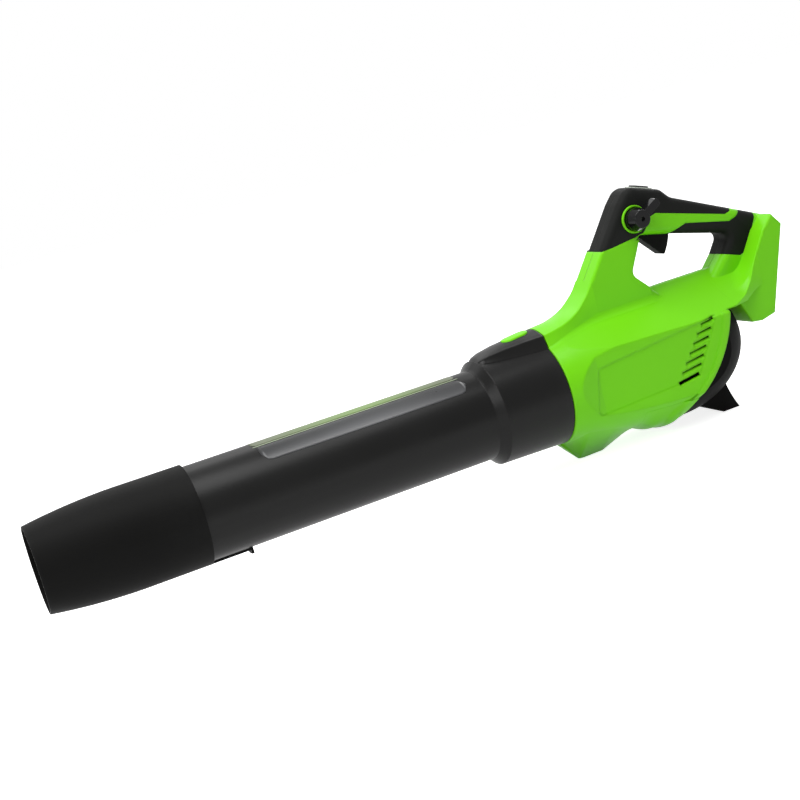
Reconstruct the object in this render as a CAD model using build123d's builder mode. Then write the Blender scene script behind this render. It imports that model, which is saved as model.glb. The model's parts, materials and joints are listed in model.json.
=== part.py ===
import os
from math import atan, cos, radians, sin, sqrt, tan

from build123d import *

os.makedirs("parts", exist_ok=True)

# A cordless leaf blower, in millimetres. X runs along the air tube from the mouth
# to the rear, Z is up, and the left hand side of the user is at -Y.

# Nozzle and tube
mouth_radius = 42.0
mouth_wall = 2.0
mouth_land = 12.0
nozzle_length = 160.0
nozzle_stop = 106.0
nozzle_wall = 2.4
nozzle_belly = 4.6
tongue_width = 22.0
tongue_length = 42.0
tongue_lip = 4.0
tube_radius = 49.0
tube_wall = 2.0
slide_gap = 0.4
tube_front = 107.0
neck_end = 478.0
collar_front = 487.0
collar_rear = 562.0
collar_radius_front = 57.5
collar_radius_rear = 59.0
spigot_radius = 54.5
spigot_wall = 2.5
spigot_front = 502.0

# Release ridge, button and its well
ridge_front = 500.0
ridge_nose = 12.0
ridge_nose_half = 6.0
ridge_half_width = 18.0
ridge_front_height = 64.5
ridge_rear_height = 68.5
ridge_crown = 26.0
ridge_inside_height = 60.5
channel_half_width = 11.7
release_x = 540.5
release_length = 31.0
release_width = 18.0
release_proud = 2.2
release_edge = 1.2
release_flange_grow = 4.5
release_flange = 2.0
release_gap = 0.4
release_rest_gap = 0.3
release_spring_radius = 4.0
well_wall = 1.8
well_floor = 53.4
well_top = 57.4

# Motor housing
housing_front = 563.0
housing_radius_front = 59.6
housing_radius_rear = 75.0
housing_wall = 2.6
flare_middle = 640.0
flare_end = 730.0
flare_share = 0.62
flat_start = 600.0
flat_front = 56.0
flat_slope = 0.043
flat_lead = 8.0
roof_angle = radians(34)
roof_distance = 62.0
tail_start = 768.0
tail_slope = 0.41
body_rear = 836.0
rim_top = (769, 35)
rim_middle = (752, -8)
rim_low = (712, -48)
rim_belly = (696, -56)
rim_bottom = (684, -90)
shoulder = [(806, 35), (840, 78), (900, 78), (900, -90)]
bead_width = 9.0
bead_proud = 1.6
panel_depth = 0.8
duct_radius = 50.5
duct_wall = 2.0
duct_front = 568.0
duct_rear = 770.0
inlet_x = 750.0
inlet_slope = 0.42
duct_rib = 3.0
duct_rib_front = 572.0
duct_rib_rear = 679.0
floor_z = -84.0

# Side louvres
louvre_count = 7
louvre_pitch = 8.9
louvre_height = 4.2
louvre_top_x = 740.0
louvre_top_z = 29.0
louvre_step = 5.9
louvre_length = 17.0
louvre_growth = 1.7
louvre_slope = 9.0
louvre_lean = 24.0
louvre_reach = 24.0

# Handle loop
handle_half_width = 17.5
handle_wall = 3.6
handle_edge = 8.0
strut_edge = 3.0
least_edge = 1.0
grip_skin = 1.8

# Battery bay
bay_half_width = 40.0
bay_wall = 3.0
bay_edge = 2.0
rail_size = 4.0
rail_setback = 7.0

# Fan and motor
fan_gap = 0.6
fan_hub_radius = 24.0
fan_front = 681.0
fan_rear = 706.0
blade_count = 9
blade_thickness = 2.0
blade_root_pitch = 38.0
blade_tip_pitch = 62.0
vane_count = 7
vane_thickness = 2.0
vane_front = 614.0
vane_rear = 664.0
pod_radius = 27.0
pod_wall = 2.4
pod_front = 604.0
pod_rear = 676.0
motor_gap = 0.2
cap_thickness = 6.0
core_front = 622.0
core_rear = 656.0
core_inner = 14.0
air_gap = 0.4
shaft_radius = 2.5
shaft_gap = 0.05
bearing_radius = 8.0
bearing_width = 5.0
cone_tip = 545.0

# Trigger
pivot_x = 716.0
pivot_z = 141.0
pin_radius = 2.0
trigger_half_width = 7.0
trigger_gap = 0.8
trigger_front = 710.0
trigger_rear = 757.0

# Cruise lever
lever_x = 703.0
lever_z = 154.0
lever_shaft_radius = 4.0
lever_hub_radius = 12.5
lever_ring_radius = 15.2
lever_ring_depth = 2.2
lever_base_depth = 8.0
lever_cone_depth = 10.0
lever_cone_taper = 16.0
lever_arm_angle = 30.0
lever_arm_reach = 30.0
lever_arm_width = 11.0
lever_arm_depth = 8.0
lever_gap = 0.4
socket_size = 2.8
socket_depth = 3.0

# Turbo button
turbo_x = 727.0
turbo_length = 23.0
turbo_width = 11.0
turbo_proud = 2.8
turbo_gap = 0.4
turbo_flange_grow = 4.0
bezel_length = 31.0
bezel_width = 19.0

# Fasteners
boss_radius = 4.2
screw_radius = 1.5
screw_head_radius = 3.2
screw_seat = 11.0
handle_screws = [(653, 109), (684, 149), (790, 132), (827, 98)]
body_screws = [(606, -58), (656, -60)]
screw_places = handle_screws + body_screws


def save(piece, name):
    piece.part.label = name
    export_step(piece.part, f"parts/{name}.step")


def turned(points):
    """Solid of revolution about the tube axis from a closed outline of (x, radius) points."""
    with BuildPart() as solid:
        with BuildSketch(Plane.XZ):
            with BuildLine():
                Polyline(*points, close=True)
            make_face()
        revolve(axis=Axis.X)
    return solid.part


def tube_ring(x_front, x_rear, outer, inner):
    return turned([(x_front, inner), (x_rear, inner), (x_rear, outer), (x_front, outer)])


def side_prism(points, half_width):
    """Side view outline of (x, z) points, as deep as the half width on both sides."""
    with BuildPart() as solid:
        with BuildSketch(Plane.XZ):
            with BuildLine():
                Polyline(*points, close=True)
            make_face()
        extrude(amount=half_width, both=True)
    return solid.part


def mirrored(half):
    """Closed outline from its half on the positive side of the second axis."""
    return [(along, -across) for along, across in half] + half[::-1]


def flat_sides(inset, tail):
    """Plan view prism that flattens the sides and, where wanted, narrows the tail."""
    end = 900.0
    tail_half = flat_front + (tail_start - flat_start) * flat_slope - inset
    half = [(housing_front - 1, flat_front + flat_lead - inset), (flat_start, flat_front - inset),
            (tail_start, tail_half)]
    if tail:
        half.append((body_rear + 1, tail_half - (body_rear + 1 - tail_start) * tail_slope))
    else:
        half.append((end, tail_half + (end - tail_start) * flat_slope))
    with BuildPart() as solid:
        with BuildSketch(Plane.XY):
            with BuildLine():
                Polyline(*mirrored(half), close=True)
            make_face()
        extrude(amount=2 * housing_radius_rear, both=True)
    return solid.part


def body_form(inset):
    """Motor housing: a flared round body with flat sides, a ridged roof and a narrow tail."""
    front = housing_radius_front - inset
    rear = housing_radius_rear - inset
    middle = front + (rear - front) * flare_share
    ridge_z = (roof_distance - inset) / cos(roof_angle)
    reach = 2 * housing_radius_rear
    with BuildPart() as form:
        with BuildSketch(Plane.XZ):
            with BuildLine():
                Line((housing_front, 0), (housing_front, front))
                ThreePointArc((housing_front, front), (flare_middle, middle), (flare_end, rear))
                Polyline((flare_end, rear), (body_rear, rear), (body_rear, 0), (housing_front, 0))
            make_face()
        revolve(axis=Axis.X)
        add(flat_sides(inset, True), mode=Mode.INTERSECT)
        with BuildSketch(Plane.YZ.offset(housing_front - 1)):
            with BuildLine():
                eaves = ridge_z - reach * tan(roof_angle)
                Polyline((0, ridge_z), (reach, eaves), (reach, -reach), (-reach, -reach),
                         (-reach, eaves), close=True)
            make_face()
        extrude(amount=body_rear - housing_front + 2, mode=Mode.INTERSECT)
    return form.part


def rear_region(shift):
    """All that lies behind the curved rear rim and below the shoulder, in side view."""
    points = [(x + shift, z) for x, z in (rim_top, rim_middle, rim_low, rim_belly, rim_bottom)]
    with BuildPart() as solid:
        with BuildSketch(Plane.XZ):
            with BuildLine():
                ThreePointArc(*points[:3])
                Polyline(*points[2:], *reversed(shoulder), points[0])
            make_face()
        extrude(amount=2 * housing_radius_rear, both=True)
    return solid.part


loop_outline = [(563, 40), (563, 67), (590, 69.5), (609, 75), (628, 92), (689, 174), (700, 185.5),
                (709, 188), (745, 176.5), (756, 165), (868, 117), (852, 60), (790, 40)]
loop_corners = {(590, 69.5): 55, (609, 75): 55, (628, 92): 55, (689, 174): 40, (700, 185.5): 14,
                (709, 188): 12, (745, 176.5): 12, (756, 165): 20}
gap_outline = [(688, 96), (724, 60), (782, 60), (808, 87), (822, 107), (746, 126.5), (708, 135)]
gap_corners = {(688, 96): 9, (808, 87): 12, (822, 107): 7, (746, 126.5): 14, (708, 135): 6}
box_outline = [(862, 118), (873.5, 104), (844, 9), (826, 5), (812, 7), (799, 35), (817, 57), (832, 80),
               (847, 103)]
panel_outline = [(601, 19), (589, -31), (690, -26), (719, -22), (752, 35)]
panel_corners = {(601, 19): 5, (589, -31): 5}
strut_region = [(500, 20), (500, 131), (707, 131), (707, 20)]


def rounded_face(points, corners):
    with BuildSketch() as face:
        with BuildLine():
            Polyline(*points, close=True)
        make_face()
        for spot, radius in corners.items():
            fillet(face.vertices().sort_by_distance((*spot, 0))[0], radius)
    return face.sketch


def loop_prism(inset, edge):
    with BuildPart() as form:
        with BuildSketch(Plane.XZ):
            add(rounded_face(loop_outline, loop_corners))
            add(rounded_face(gap_outline, gap_corners), mode=Mode.SUBTRACT)
            if inset:
                offset(amount=-inset, kind=Kind.INTERSECTION)
        extrude(amount=handle_half_width - inset, both=True)
        fillet(form.faces().filter_by(Axis.Y).edges(), max(edge - inset, least_edge))
    return form.part


def loop_form(inset):
    """Handle loop: a strut with crisp edges below, a cap and a bar with soft edges above."""
    with BuildPart() as strut:
        add(loop_prism(inset, strut_edge))
        add(side_prism(strut_region, 2 * handle_half_width), mode=Mode.INTERSECT)
    with BuildPart() as form:
        add(loop_prism(inset, handle_edge))
        add(side_prism(strut_region, 2 * handle_half_width), mode=Mode.SUBTRACT)
        add(strut.part)
    return form.part


def box_form(outset):
    """Battery box outline, grown outwards where a clearance is wanted."""
    with BuildPart() as form:
        with BuildSketch(Plane.XZ):
            with BuildLine():
                Polyline(*box_outline, close=True)
            make_face()
            if outset:
                offset(amount=outset, kind=Kind.INTERSECTION)
        extrude(amount=bay_half_width + outset, both=True)
        if not outset:
            fillet(form.faces().filter_by(Axis.Y).edges(), bay_edge)
    return form.part


top_grip_outline = [(600, 134), (654, 130), (670, 131), (712, 136), (722, 151), (731, 153.5), (818, 129.5),
                    (826, 131), (832, 138), (832, 220), (640, 220)]
rear_grip_outline = [(744, 127), (766, 133), (822, 120.5), (831, 123), (838, 128), (842, 140), (842, 160),
                     (870, 160), (856, 117), (848, 102), (835, 82), (828, 79.5), (790, 92), (744, 100)]
keel_top = -50.0
keel_top_half = [(552, 9), (580, 17), (656, 6)]
keel_foot_half = [(583, 1.5), (587, 4), (612, 3)]
cap_front = (709, 188)
cap_rear = (745, 176.5)
cap_drop = (cap_front[1] - cap_rear[1]) / (cap_rear[0] - cap_front[0])
cap_tilt = atan(cap_drop)
turbo_z = cap_front[1] - (turbo_x - cap_front[0]) * cap_drop
turbo_plane = Plane(
    origin=(turbo_x, 0, turbo_z),
    x_dir=(cos(cap_tilt), 0, -sin(cap_tilt)),
    z_dir=(sin(cap_tilt), 0, cos(cap_tilt)),
)


def moved(shape, x=0, y=0, z=0):
    with BuildPart() as copy:
        with Locations((x, y, z)):
            add(shape)
    return copy.part


def cross_hole(x, z, radius, y_from, y_to):
    """Round bar across the part, along Y."""
    with BuildPart() as bar:
        with BuildSketch(Plane.XZ.offset(-y_to)):
            with Locations((x, z)):
                Circle(radius)
        extrude(amount=y_to - y_from)
    return bar.part


def turbo_prism(length, width, low, high):
    """Rounded block square to the top of the handle, at the turbo button."""
    with BuildPart() as block:
        with BuildSketch(turbo_plane.offset(low)):
            SlotOverall(length, width)
        extrude(amount=high - low)
    return block.part


def block(x_from, x_to, half_width, z_from, z_to):
    with BuildPart() as solid:
        with Locations(((x_from + x_to) / 2, 0, (z_from + z_to) / 2)):
            Box(x_to - x_from, 2 * half_width, z_to - z_from)
    return solid.part


# Openings that the rubber grips and the housing share
trigger_slot = block(trigger_front, trigger_rear, trigger_half_width + trigger_gap, 112, 139)
turbo_seat = turbo_prism(bezel_length + 2 * turbo_gap, bezel_width + 2 * turbo_gap, -grip_skin, 20)
turbo_hole = turbo_prism(turbo_length + 2 * turbo_gap, turbo_width + 2 * turbo_gap, -8, 20)
ring_back = -handle_half_width + grip_skin
lever_seat = cross_hole(lever_x, lever_z, lever_ring_radius + motor_gap, -30, ring_back)
lever_hole = cross_hole(lever_x, lever_z, lever_shaft_radius + shaft_gap, -30, -5)

# Rubber skin of the handle: one piece round the front and the top, one round the rear
with BuildPart() as skin:
    add(loop_form(0))
    add(loop_form(grip_skin), mode=Mode.SUBTRACT)
    add(box_form(0), mode=Mode.SUBTRACT)
    for cut in (trigger_slot, turbo_seat):
        add(cut, mode=Mode.SUBTRACT)
with BuildPart() as top_grip:
    add(skin.part)
    add(side_prism(top_grip_outline, 40), mode=Mode.INTERSECT)
with BuildPart() as rear_grip:
    add(skin.part)
    add(side_prism(rear_grip_outline, 40), mode=Mode.INTERSECT)

# Housing with its spigot, ribs, handle and battery bay, before it is parted
with BuildPart() as hollow:
    add(body_form(housing_wall))
    add(loop_form(handle_wall))
    add(box_form(0), mode=Mode.SUBTRACT)

with BuildPart() as ribs:
    for x in (duct_rib_front, duct_rib_rear):
        add(tube_ring(x, x + duct_rib, 90, duct_radius + duct_wall + motor_gap))
    add(body_form(housing_wall / 2), mode=Mode.INTERSECT)

with BuildPart() as bay:
    add(box_form(-bay_wall))
    add(moved(box_form(-bay_wall), x=3 * bay_wall))

with BuildPart() as rails:
    add(moved(side_prism(box_outline, bay_half_width - bay_wall), x=-rail_setback))
    add(moved(side_prism(box_outline, bay_half_width), x=-rail_setback - rail_size), mode=Mode.SUBTRACT)
    add(block(800, 880, bay_half_width - bay_wall - rail_size, 0, 130), mode=Mode.SUBTRACT)
    add(block(800, 880, bay_half_width, 0, 24), mode=Mode.SUBTRACT)
    add(block(800, 880, bay_half_width, 94, 130), mode=Mode.SUBTRACT)

# Raised bead along the rear rim, the shallow side panels and the keel
with BuildPart() as bead:
    add(body_form(-bead_proud))
    add(rear_region(-bead_width), mode=Mode.INTERSECT)
    add(rear_region(0), mode=Mode.SUBTRACT)

with BuildPart() as panels:
    with BuildSketch(Plane.XZ):
        add(rounded_face(panel_outline, panel_corners))
    extrude(amount=2 * housing_radius_rear, both=True)
    add(body_form(panel_depth), mode=Mode.SUBTRACT)
    add(rear_region(-bead_width), mode=Mode.SUBTRACT)

with BuildPart() as keel:
    for z, half in ((keel_top, keel_top_half), (floor_z, keel_foot_half)):
        with BuildSketch(Plane.XY.offset(z)):
            with BuildLine():
                Polyline(*mirrored(half), close=True)
            make_face()
    loft(ruled=True)
    add(block(500, housing_front, 50, floor_z - 1, 0), mode=Mode.SUBTRACT)

# Screw bosses and the trigger pin bosses, which end inside the walls of the handle
pin_boss_from = trigger_half_width + 1.0
pin_end = handle_half_width - handle_wall
with BuildPart() as bosses:
    for x, z in handle_screws:
        add(cross_hole(x, z, boss_radius, -handle_half_width, handle_half_width))
    add(cross_hole(pivot_x, pivot_z, pin_radius + 2.5, -handle_half_width, -pin_boss_from))
    add(cross_hole(pivot_x, pivot_z, pin_radius + 2.5, pin_boss_from, handle_half_width))
    add(loop_form((grip_skin + handle_wall) / 2), mode=Mode.INTERSECT)
with BuildPart() as low_bosses:
    for x, z in body_screws:
        add(cross_hole(x, z, boss_radius, -housing_radius_rear, housing_radius_rear))
    add(body_form(housing_wall / 2), mode=Mode.INTERSECT)

well_length = release_length + release_flange_grow + 2 * release_gap
well_width = release_width + 2 * release_gap
spigot_inner = spigot_radius - spigot_wall
with BuildPart() as well:
    with BuildSketch(Plane.XY.offset(spigot_inner + spigot_wall / 2)):
        with Locations((release_x, 0)):
            SlotOverall(well_length + 2 * well_wall, well_width + 2 * well_wall)
    extrude(amount=well_top - spigot_inner - spigot_wall / 2)
with BuildPart() as well_pocket:
    with BuildSketch(Plane.XY.offset(well_floor)):
        with Locations((release_x, 0)):
            SlotOverall(well_length, well_width)
    extrude(amount=well_top)

# Louvre slots, which lean so that rain runs off them
with BuildPart() as louvres:
    for row in range(louvre_count):
        x = louvre_top_x - row * louvre_step
        z = louvre_top_z - row * louvre_pitch
        y = flat_front + (x - flat_start) * flat_slope
        length = louvre_length + row * louvre_growth
        for side in (-1, 1):
            with Locations(Location((x, side * y, z), (-side * louvre_lean, -louvre_slope, 0))):
                Box(length, louvre_reach, louvre_height)

with BuildPart() as cuts:
    for cut in (panels, bay, well_pocket, top_grip, rear_grip, louvres):
        add(cut.part)
    for cut in (trigger_slot, turbo_seat, turbo_hole):
        add(cut)

with BuildPart() as housing:
    add(body_form(0))
    add(rear_region(0), mode=Mode.SUBTRACT)
    add(bead.part)
    add(keel.part)
    add(loop_form(0))
    add(box_form(0))
    add(hollow.part, mode=Mode.SUBTRACT)
    add(ribs.part)
    add(tube_ring(spigot_front, housing_front + spigot_wall, spigot_radius, spigot_inner))
    add(tube_ring(housing_front, housing_front + spigot_wall, housing_radius_front, spigot_inner))
    add(well.part)
    add(bosses.part)
    add(low_bosses.part)
    add(cuts.part, mode=Mode.SUBTRACT)
    add(rails.part)

with BuildPart() as left_holes:
    for x, z in screw_places:
        add(cross_hole(x, z, screw_radius, -pin_end + 1, 1))
    add(cross_hole(pivot_x, pivot_z, pin_radius + shaft_gap, -pin_end, 0))
    add(lever_hole)

with BuildPart() as right_holes:
    for x, z in screw_places:
        add(cross_hole(x, z, screw_radius + motor_gap, -1, screw_seat + 1))
        add(cross_hole(x, z, screw_head_radius + motor_gap, screw_seat, 90))
    add(cross_hole(pivot_x, pivot_z, pin_radius + shaft_gap, 0, pin_end))

for name, side, holes in (("housing_left", Keep.TOP, left_holes), ("housing_right", Keep.BOTTOM, right_holes)):
    with BuildPart() as housing_half:
        add(housing.part)
        split(bisect_by=Plane.XZ, keep=side)
        add(holes.part, mode=Mode.SUBTRACT)
    save(housing_half, name)

with BuildPart() as grip_left:
    add(top_grip.part)
    split(bisect_by=Plane.XZ, keep=Keep.TOP)
    add(lever_seat, mode=Mode.SUBTRACT)
save(grip_left, "grip_left")

with BuildPart() as rear_grip_left:
    add(rear_grip.part)
    split(bisect_by=Plane.XZ, keep=Keep.TOP)
save(rear_grip_left, "rear_grip_left")

for name, whole in (("grip_right", top_grip), ("rear_grip_right", rear_grip)):
    with BuildPart() as grip_right:
        add(whole.part)
        split(bisect_by=Plane.XZ, keep=Keep.BOTTOM)
        for x, z in handle_screws:
            add(cross_hole(x, z, screw_head_radius + motor_gap, screw_seat, 90), mode=Mode.SUBTRACT)
    save(grip_right, name)

with BuildPart() as housing_screws:
    for x, z in screw_places:
        add(cross_hole(x, z, screw_radius, -pin_end + 2, screw_seat))
        add(cross_hole(x, z, screw_head_radius, screw_seat, screw_seat + 2.4))
save(housing_screws, "housing_screws")

# Intake guard: a domed grille with the rear foot
guard_start = 660.0
dome_x = 709.0
dome_length = 98.6
grille_front = 740.0
grille_slot = 5.0
grille_pitch = 9.5
grille_rows = 4
grille_radius = 42.0
grille_top = 30.0
grille_bar = 7.0
foot_half_width = 26.0


def guard_form(inset):
    radius = housing_radius_rear - inset
    length = dome_length - inset
    with BuildPart() as form:
        with BuildSketch(Plane.XZ):
            with BuildLine():
                EllipticalCenterArc((dome_x, 0), length, radius, start_angle=0, arc_size=90)
                Polyline((dome_x, radius), (guard_start, radius), (guard_start, 0), (dome_x + length, 0))
            make_face()
        revolve(axis=Axis.X)
        add(flat_sides(inset, False), mode=Mode.INTERSECT)
    return form.part


with BuildPart() as foot:
    with BuildSketch(Plane.XZ):
        with BuildLine():
            Polyline((769, -44), (733, -44), (733, -68), (741, -73), (761, floor_z), (783, floor_z))
            ThreePointArc((783, floor_z), (774, -64), (769, -44))
        make_face()
    extrude(amount=foot_half_width, both=True)
    add(guard_form(housing_wall), mode=Mode.SUBTRACT)

with BuildPart() as intake_guard:
    add(guard_form(0))
    add(guard_form(housing_wall), mode=Mode.SUBTRACT)
    add(rear_region(0), mode=Mode.INTERSECT)
    with BuildSketch(Plane.YZ.offset(grille_front)):
        for row in range(-grille_rows, grille_rows + 1):
            across = row * grille_pitch
            reach = sqrt(grille_radius ** 2 - across ** 2)
            high = min(reach, grille_top)
            with Locations((across, (grille_bar / 2 + high) / 2), (across, -(grille_bar / 2 + high) / 2)):
                Rectangle(grille_slot, high - grille_bar / 2)
    extrude(amount=dome_length, mode=Mode.SUBTRACT)
    add(foot.part)
    add(box_form(0.4), mode=Mode.SUBTRACT)
save(intake_guard, "intake_guard")

# Air tube with its collar and the ridge over the release button
ridge_slope = (ridge_rear_height - ridge_front_height) / (collar_rear - ridge_front - ridge_nose)
ridge_at_button = ridge_front_height + (release_x - ridge_front - ridge_nose) * ridge_slope


def ridge_crown_form(lift):
    """Long round bar whose top follows the crown of the ridge."""
    tilt = atan(ridge_slope)
    start = collar_front - ridge_front
    base = ridge_front_height + (start - ridge_nose) * ridge_slope + lift - ridge_crown
    with BuildPart() as bar:
        with BuildSketch(Plane(origin=(collar_front, 0, base), x_dir=(0, 1, 0),
                               z_dir=(cos(tilt), 0, sin(tilt)))):
            Circle(ridge_crown)
        extrude(amount=2 * (collar_rear - collar_front))
    return bar.part


with BuildPart() as ridge:
    with BuildSketch(Plane.XY.offset(tube_radius)):
        with BuildLine():
            half = [(ridge_front, ridge_nose_half), (ridge_front + 2 * ridge_nose, ridge_half_width),
                    (collar_rear, ridge_half_width + 2)]
            Polyline(*mirrored(half), close=True)
        make_face()
    extrude(amount=ridge_rear_height - tube_radius, taper=6)
    add(ridge_crown_form(0), mode=Mode.INTERSECT)
    add(side_prism([(ridge_front - 20, tube_radius - 10), (ridge_front - 20, tube_radius + 8),
                    (ridge_front + ridge_nose, ridge_front_height), (collar_rear, ridge_rear_height),
                    (collar_rear, tube_radius - 10)], 40), mode=Mode.INTERSECT)

tube_inner = tube_radius - tube_wall
socket_radius = spigot_radius + 0.3
with BuildPart() as blow_tube:
    add(turned([(tube_front, 0), (tube_front, tube_radius), (neck_end, tube_radius),
                (neck_end + 2, tube_radius + 1.5), (collar_front, collar_radius_front),
                (collar_rear, collar_radius_rear), (collar_rear, 0)]))
    add(ridge.part)
    add(turned([(tube_front - 1, 0), (tube_front - 1, tube_inner), (collar_front + 2, tube_inner),
                (spigot_front - 4, socket_radius), (collar_rear + 1, socket_radius), (collar_rear + 1, 0)]),
        mode=Mode.SUBTRACT)
    channel_front = release_x - well_length / 2 - well_wall - 2
    add(block(channel_front, collar_rear + 1, channel_half_width, 40, ridge_inside_height), mode=Mode.SUBTRACT)
    with BuildSketch(Plane.XY.offset(ridge_inside_height - 1)):
        with Locations((release_x, 0)):
            SlotOverall(release_length + 2 * release_gap, release_width + 2 * release_gap)
    extrude(amount=20, mode=Mode.SUBTRACT)
save(blow_tube, "blow_tube")

flange_top = ridge_inside_height - release_rest_gap
with BuildPart() as tube_release_button:
    with BuildSketch(Plane.XY.offset(flange_top)):
        with Locations((release_x, 0)):
            SlotOverall(release_length, release_width)
    extrude(amount=ridge_rear_height + release_proud - flange_top)
    add(ridge_crown_form(release_proud), mode=Mode.INTERSECT)
    fillet(tube_release_button.faces().sort_by(Axis.Z)[-1].edges(), release_edge)
    with BuildSketch(Plane.XY.offset(flange_top - release_flange)):
        with Locations((release_x, 0)):
            SlotOverall(release_length + release_flange_grow, release_width)
    extrude(amount=release_flange)
save(tube_release_button, "tube_release_button")

with BuildPart() as release_spring:
    with BuildSketch(Plane.XY.offset(well_floor)):
        with Locations((release_x, 0)):
            Circle(release_spring_radius)
            Circle(release_spring_radius - 1, mode=Mode.SUBTRACT)
    extrude(amount=flange_top - release_flange - well_floor)
save(release_spring, "release_spring")

# Nozzle, pushed over the front of the tube, with its tongue below
sleeve = tube_radius + slide_gap
with BuildPart() as nozzle:
    with BuildSketch(Plane.XZ):
        with BuildLine():
            lip = mouth_radius + mouth_wall
            rear = sleeve + nozzle_wall
            Line((0, mouth_radius), (0, lip))
            ThreePointArc((0, lip), (nozzle_stop / 2, (lip + rear) / 2 + nozzle_belly / 2), (nozzle_stop, rear))
            Line((nozzle_stop, rear), (nozzle_length, rear))
            Line((nozzle_length, rear), (nozzle_length, sleeve))
            Line((nozzle_length, sleeve), (nozzle_stop, sleeve))
            Line((nozzle_stop, sleeve), (nozzle_stop, tube_inner))
            belly_x = (nozzle_stop + mouth_land) / 2
            belly = (mouth_radius + tube_inner) / 2 + nozzle_belly / 3
            ThreePointArc((nozzle_stop, tube_inner), (belly_x, belly), (mouth_land, mouth_radius))
            Line((mouth_land, mouth_radius), (0, mouth_radius))
        make_face()
    revolve(axis=Axis.X)
    with BuildSketch(Plane.YZ.offset(nozzle_length)):
        Circle(rear)
        Circle(sleeve, mode=Mode.SUBTRACT)
        with Locations((0, -rear)):
            Rectangle(tongue_width, rear, mode=Mode.INTERSECT)
    extrude(amount=tongue_length)
    with BuildSketch(Plane.YZ.offset(nozzle_length + tongue_length)):
        Circle(rear + tongue_lip)
        Circle(sleeve, mode=Mode.SUBTRACT)
        with Locations((0, -rear)):
            Rectangle(tongue_width, rear, mode=Mode.INTERSECT)
    extrude(amount=nozzle_wall)
save(nozzle, "nozzle")

# Guide vane duct with the motor pod
pod_inner = pod_radius - pod_wall
inlet_cut = [(inlet_x + 100 * inlet_slope, 100), (inlet_x - 100 * inlet_slope, -100), (900, -100), (900, 100)]
with BuildPart() as guide_vane_duct:
    add(tube_ring(duct_front, duct_rear, duct_radius + duct_wall, duct_radius))
    add(tube_ring(pod_front, pod_rear, pod_radius, pod_inner))
    add(tube_ring(pod_front, pod_front + 3, pod_radius, bearing_radius - 2))
    with BuildSketch(Plane.YZ.offset(vane_front)):
        with PolarLocations((pod_radius + duct_radius) / 2, vane_count):
            Rectangle(duct_radius - pod_radius + duct_wall, vane_thickness)
    extrude(amount=vane_rear - vane_front)
    add(side_prism(inlet_cut, 100), mode=Mode.SUBTRACT)
save(guide_vane_duct, "guide_vane_duct")

with BuildPart() as tail_cone:
    with BuildSketch(Plane.XZ):
        with BuildLine():
            nose = 4.0
            waist_x = (cone_tip + pod_front) / 2 - 2
            waist = pod_radius * 0.72
            Line((cone_tip, 0), (cone_tip, nose))
            ThreePointArc((cone_tip, nose), (waist_x, waist), (pod_front, pod_radius))
            Line((pod_front, pod_radius), (pod_front, pod_inner))
            ThreePointArc((pod_front, pod_inner), (waist_x + 1, waist - pod_wall), (cone_tip + 3, nose / 2))
            Line((cone_tip + 3, nose / 2), (cone_tip + 3, 0))
            Line((cone_tip + 3, 0), (cone_tip, 0))
        make_face()
    revolve(axis=Axis.X)
save(tail_cone, "tail_cone")

# Motor
core_radius = pod_inner - motor_gap
front_cap_x = pod_front + 3
rear_cap_x = vane_rear
for name, x_from, seat_from in (("motor_front_cap", front_cap_x, front_cap_x + 1),
                                ("motor_rear_cap", rear_cap_x, rear_cap_x)):
    with BuildPart() as cap:
        add(tube_ring(x_from, x_from + cap_thickness, core_radius, shaft_radius + 1))
        add(tube_ring(seat_from, seat_from + bearing_width, bearing_radius, 0), mode=Mode.SUBTRACT)
    save(cap, name)
for name, x_from in (("front_bearing", front_cap_x + 1), ("rear_bearing", rear_cap_x)):
    with BuildPart() as bearing:
        add(tube_ring(x_from, x_from + bearing_width, bearing_radius, shaft_radius + shaft_gap))
    save(bearing, name)

slot_count = 9
with BuildPart() as stator_core:
    add(tube_ring(core_front, core_rear, core_radius, core_inner))
    with BuildSketch(Plane.YZ.offset(core_front)):
        with PolarLocations((core_radius + core_inner) / 2 - 1, slot_count):
            Rectangle(core_radius - core_inner - 4, 4)
    extrude(amount=core_rear - core_front, mode=Mode.SUBTRACT)
save(stator_core, "stator_core")

with BuildPart() as stator_windings:
    for x_from, x_to in ((front_cap_x + cap_thickness, core_front), (core_rear, rear_cap_x)):
        add(tube_ring(x_from, x_to, core_radius - 3, core_inner + 1))
save(stator_windings, "stator_windings")

with BuildPart() as rotor:
    add(tube_ring(core_front, core_rear, core_inner - air_gap, shaft_radius))
save(rotor, "rotor")

shaft_end = fan_rear + 8
with BuildPart() as motor_shaft:
    add(tube_ring(front_cap_x + 2, shaft_end, shaft_radius, 0))
save(motor_shaft, "motor_shaft")

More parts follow.
